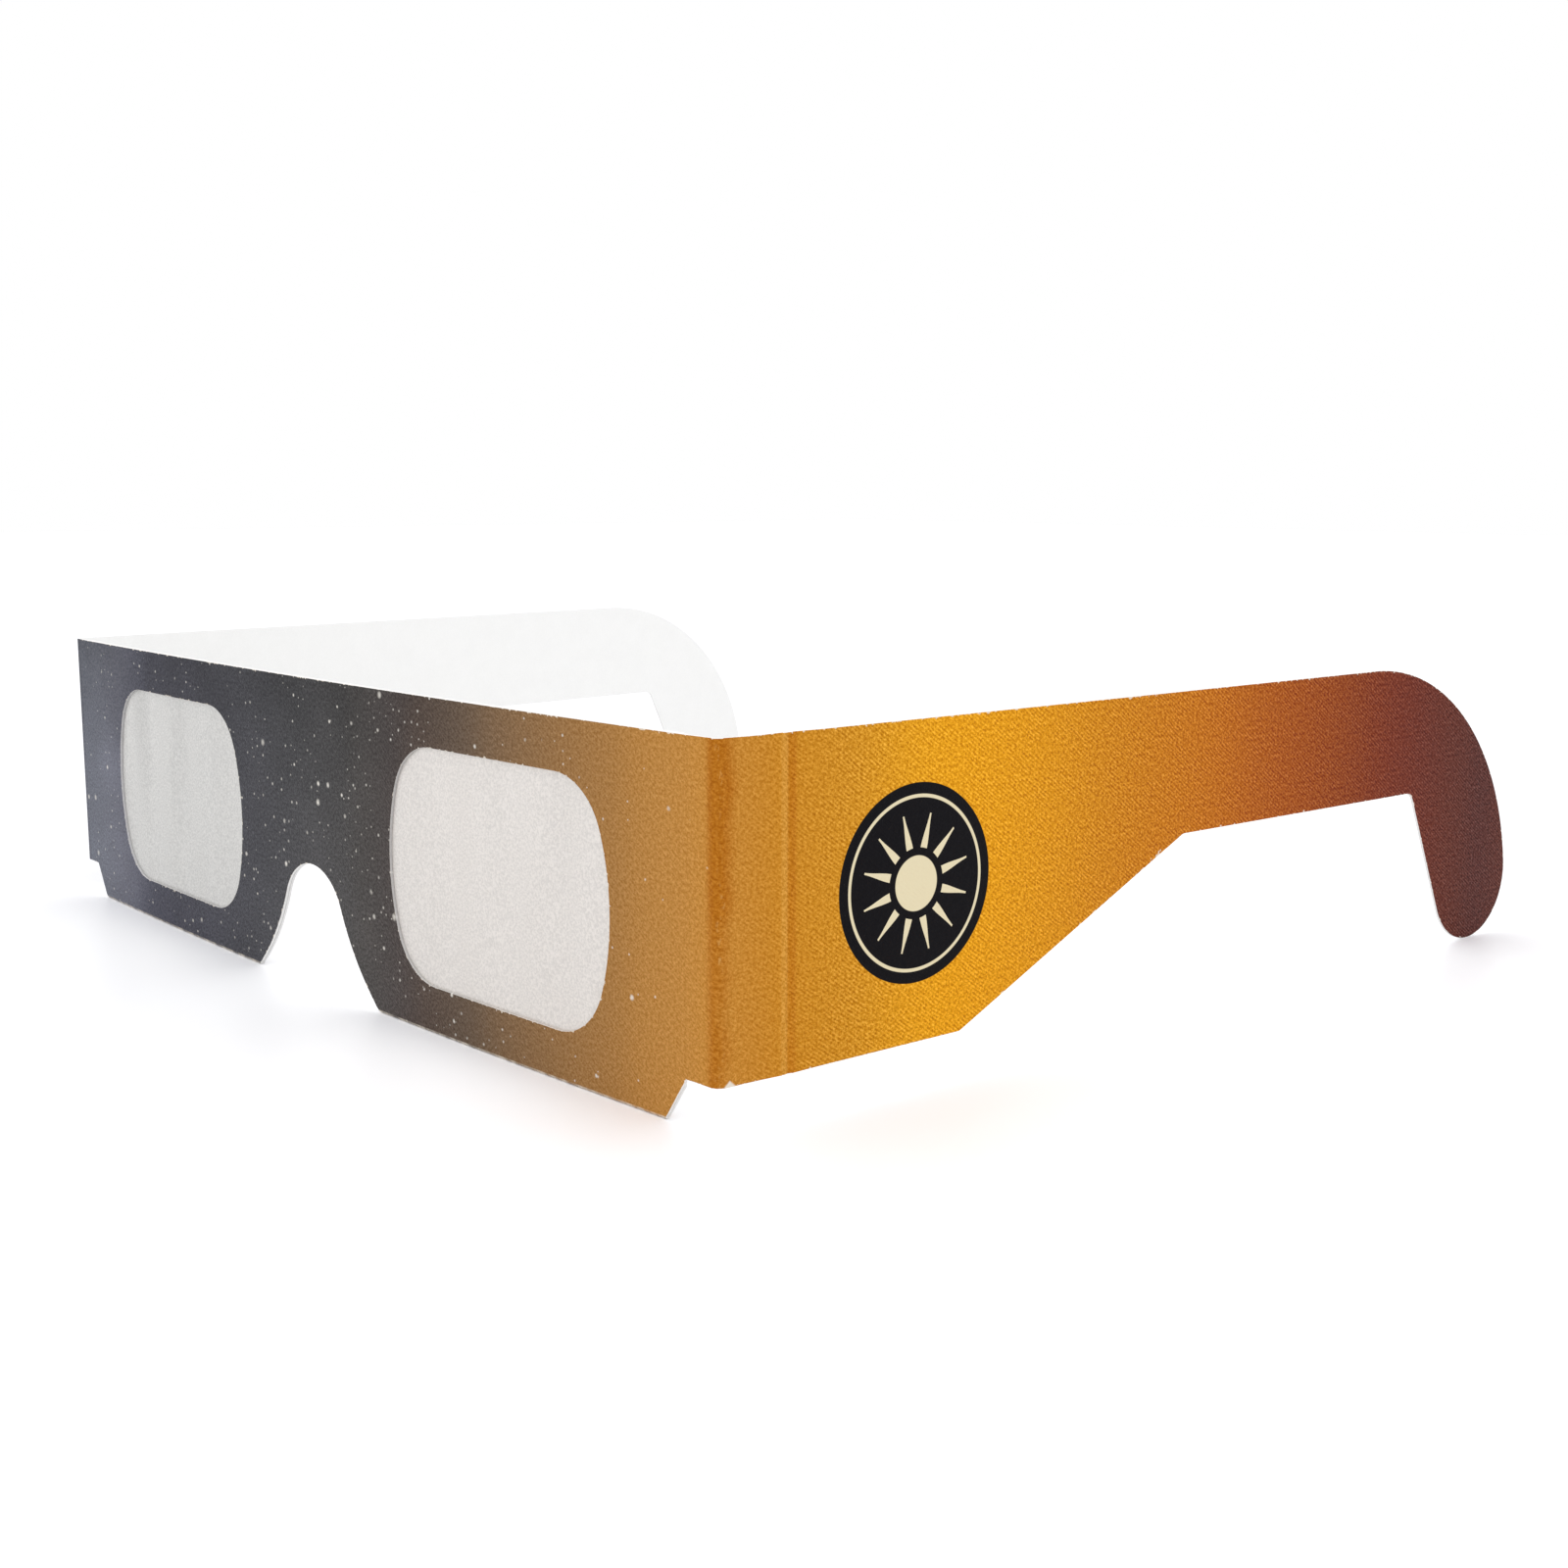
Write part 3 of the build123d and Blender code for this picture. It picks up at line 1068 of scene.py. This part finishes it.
corner_pressing = (corner_groove, corner_shoulder, corner_bead)
arm_pressing = (arm_groove, arm_shoulder, arm_bead)
for side, word in sides:
    strip, arm = word + "_strip", word + "_arm"
    make_crease(side, word + "_corner_crease", front_end, strip_start, corner_pressing)
    make_crease(side, word + "_arm_crease", strip_end, arm_start, arm_pressing)

# Corner strips
# The narrow upright strip between the two creases, which gives each corner its depth. It is one layer
# of the same printed board, and runs on into the crease at each side.


def strip_joined(point):
    """True along the strip's two upright sides, where it runs on into the creases."""
    return min(abs(abs(point[0]) - strip_start), abs(abs(point[0]) - strip_end)) < same_line


for side, word in sides:
    foot, top = ([(side * a, z) for a in (strip_start, strip_end)] for z in (side_bottom, front_height))
    outline = turned(stretch(foot + top[::-1]), True)
    strip = make_board(word + "_strip_print", fill([outline]), strip_joined)
    dress(strip, word + "_strip", word + "_corner_strip")

# Temple arms
# One layer of board each: a deep heel behind the hinge crease, a slant up to the narrow neck, and a
# round ear hook at the back. A sun badge is printed on the heel of the wearer's left arm.
heel_reach = 22.1
neck_start = 55.8
neck_bottom = 20.5
hook_start = 99.7
tip_reach = 114.4
tip_radius = 8.1
back_radius = 32.0
hook_corner = 1.4
arm_corner = 0.8


def rounded(before, corner, after, radius):
    """Points of a corner that is rounded between two straight edges."""
    ways = [heading_to(corner, before), heading_to(corner, after)]
    half = ((ways[1] - ways[0] + pi) % (2 * pi) - pi) / 2
    middle = ways[0] + half
    away = radius / abs(sin(half))
    centre = (corner[0] + away * cos(middle), corner[1] + away * sin(middle))
    spread = (pi / 2 - abs(half)) * (1 if half > 0 else -1)
    return arc(centre, radius, middle + pi + spread, middle + pi - spread)


def arm_outline():
    """Outline of an arm, as reach behind the arm crease's middle and height."""
    tip = (tip_reach, tip_radius)
    lean = back_radius - tip_radius
    drop = front_height - back_radius - tip_radius
    back = (tip_reach - (lean ** 2 - drop ** 2) ** 0.5, front_height - back_radius)
    hook = (hook_start, neck_bottom)
    away = hypot(tip[0] - hook[0], tip[1] - hook[1])
    to_touch = heading_to(hook, tip) - asin(tip_radius / away)
    run = (away ** 2 - tip_radius ** 2) ** 0.5
    touch = (hook[0] + run * cos(to_touch), hook[1] + run * sin(to_touch))
    low = [(crease_reach, side_bottom), (heel_reach, side_bottom), (neck_start, neck_bottom), hook, touch]
    outline = [low[0]]
    for i, radius in ((1, arm_corner), (2, arm_corner), (3, hook_corner)):
        outline += rounded(low[i - 1], low[i], low[i + 1], radius)
    outline += arc(tip, tip_radius, to_touch - pi / 2, heading_to(back, tip))
    outline += arc(back, back_radius, heading_to(back, tip), pi / 2)
    return outline + [(crease_reach, front_height)]


def arm_joined(point):
    """True along the arm's front side, where it runs on into the arm crease."""
    return abs(abs(point[0]) - arm_start) < same_line


badge_reach = 15.95
badge_height = 20.3
badge_radius = 9.8
badge_dark = ink(6, 4, 9)
badge_pale = ink(238, 226, 190)
badge_blur = 0.03
ring_radius = 8.5
ring_core = 0.14
ring_edge = 0.2
sun_radius = 2.72
ray_count = 12
ray_middle = 5.2
ray_half_length = 1.7
ray_taper = (3.5, 7.0)
ray_half_widths = (0.42, 0.1)


def badge_marks(tree, blank):
    """Shares of dark disc and pale marks of the sun badge: a thin ring, a round sun and its rays."""
    across = sum_of(tree, "SUBTRACT", blank[0], arm_start - crease_reach + badge_reach)
    upward = sum_of(tree, "SUBTRACT", blank[1], badge_height)
    square = times(tree, across, across)
    away = sum_of(tree, "SQRT", sum_of(tree, "MULTIPLY_ADD", upward, upward, square))
    disc = fade(tree, away, badge_radius + badge_blur, badge_radius - badge_blur)
    ring = near_to(tree, away, ring_radius, ring_core, ring_edge)
    sun = fade(tree, away, sun_radius + badge_blur, sun_radius - badge_blur)
    turn = times(tree, sum_of(tree, "ARCTAN2", upward, across), ray_count / (2 * pi))
    off = off_from(tree, sum_of(tree, "FRACT", turn), 0.5)
    aside = times(tree, times(tree, off, away), 2 * pi / ray_count)
    ray = sum_of(tree, "LESS_THAN", aside, fade(tree, away, *ray_taper, *ray_half_widths))
    span = sum_of(tree, "LESS_THAN", off_from(tree, away, ray_middle), ray_half_length)
    marks = sum_of(tree, "MAXIMUM", times(tree, ray, span), sum_of(tree, "MAXIMUM", ring, sun))
    return disc, marks


def badged_surface(tree):
    """The printed face with the sun badge on it."""
    colour, rough, relief = printed_surface(tree)
    disc, marks = badge_marks(tree, place_on_blank(tree))
    return mixed(tree, disc, colour, mixed(tree, marks, badge_dark, badge_pale)), rough, relief


badged_board = finish("badged_board", badged_surface, print_relief, Specular_IOR_Level=print_gloss)
for side, word in sides:
    start = arm_start - crease_reach
    outline = turned(stretch([(side * (start + a), z) for a, z in arm_outline()]), True)
    arm = make_board(word + "_arm_print", fill([outline]), arm_joined)
    outside = badged_board if word == "left" else printed_board
    dress(arm, word + "_arm", word + "_temple_arm", outside)

# Floor, light and camera
# A white table and soft light from all round, a little stronger from above and in front. The camera
# stands low, about 165 mm from the near corner, and looks along the front as in the photograph.
# Here lengths are in metres, apart from the sensor's width, which is in millimetres.
camera_place = (0.193357, -0.168136, 0.057987)
camera_turn = 0.8333
camera_pitch = -0.1584
camera_roll = 0.0032
focal_pixels = 1913.18
photo_pixels = 1600
sensor = 36.0
nearest_seen = 0.01
table_size = 4.0
table_rough = 0.4
table_gloss = 0.2
lit_white = (0.84, 0.84, 0.85, 1)
seen_white = (1, 1, 1, 1)
cool_glow = (0.75, 0.77, 1, 1)
glow_reach = (0.3, 0.9)
glow_strength = (0.09, 0.4)
sky_strength = 0.95
lamp_place = (0.05, -0.1, 0.7)
lamp_aim = (0, 0, 0.02)
lamp_size = 0.6
lamp_power = 1.2


def aim_camera():
    """The camera that sees the object as the photograph does."""
    right = Vector((cos(camera_turn), sin(camera_turn), 0))
    level_ahead = Vector((-sin(camera_turn), cos(camera_turn), 0))
    ahead = level_ahead * cos(camera_pitch) + Vector((0, 0, sin(camera_pitch)))
    up = right.cross(ahead)
    across = right * cos(camera_roll) + up * sin(camera_roll)
    upright = up * cos(camera_roll) - right * sin(camera_roll)
    data = bpy.data.cameras.new("camera")
    data.lens = focal_pixels / photo_pixels * sensor
    data.sensor_width = sensor
    data.clip_start = nearest_seen
    camera = bpy.data.objects.new("camera", data)
    turn = Matrix((across, upright, -ahead)).transposed().to_4x4()
    camera.matrix_world = Matrix.Translation(camera_place) @ turn
    bpy.context.scene.collection.objects.link(camera)
    bpy.context.scene.camera = camera


def seen_rays(tree):
    """One for rays that the eye sees directly, in a gloss or through glass, and nought for the rest."""
    rays = add(tree, "LightPath").outputs
    seen = sum_of(tree, "MAXIMUM", rays["Is Camera Ray"], rays["Is Glossy Ray"])
    return sum_of(tree, "MAXIMUM", seen, rays["Is Transmission Ray"])


def make_table():
    """The white table top. It keeps a faint shadow, and glows a little so that the eye sees it white."""
    half = table_size / 2
    corners = [(x * half, y * half, 0) for x, y in ((-1, -1), (1, -1), (1, 1), (-1, 1))]
    mesh = bpy.data.meshes.new("table_top")
    mesh.from_pydata(corners, [], [(0, 1, 2, 3)])
    table = bpy.data.objects.new("table_top", mesh)
    bpy.context.scene.collection.objects.link(table)
    material = bpy.data.materials.new("table_top")
    material.use_nodes = True
    tree = material.node_tree
    shader = tree.nodes["Principled BSDF"]
    shader.inputs["Roughness"].default_value = table_rough
    shader.inputs["Specular IOR Level"].default_value = table_gloss
    shader.inputs["Emission Color"].default_value = cool_glow
    seen = seen_rays(tree)
    tree.links.new(mixed(tree, seen, lit_white, seen_white), shader.inputs["Base Color"])
    place = add(tree, "TexCoord").outputs["Object"]
    away = add(tree, "VectorMath", {0: place}, operation="LENGTH").outputs["Value"]
    glow = fade(tree, away, *glow_reach, *glow_strength)
    tree.links.new(times(tree, seen, glow), shader.inputs["Emission Strength"])
    mesh.materials.append(material)


def light_sky():
    """Even light from all round, seen as plain white."""
    world = bpy.data.worlds.new("studio")
    bpy.context.scene.world = world
    world.use_nodes = True
    tree = world.node_tree
    back = tree.nodes["Background"]
    back.inputs["Color"].default_value = seen_white
    strength = fade(tree, seen_rays(tree), 0, 1, sky_strength, 1.0)
    tree.links.new(strength, back.inputs["Strength"])


def hang_lamp():
    """A soft square lamp above the table, which points at the object."""
    data = bpy.data.lights.new("overhead", "AREA")
    data.size = lamp_size
    data.energy = lamp_power
    lamp = bpy.data.objects.new("overhead", data)
    lamp.location = lamp_place
    lamp.rotation_euler = (Vector(lamp_aim) - Vector(lamp_place)).to_track_quat("-Z", "Y").to_euler()
    bpy.context.scene.collection.objects.link(lamp)


aim_camera()
make_table()
light_sky()
hang_lamp()
bpy.context.scene.view_settings.view_transform = "Standard"
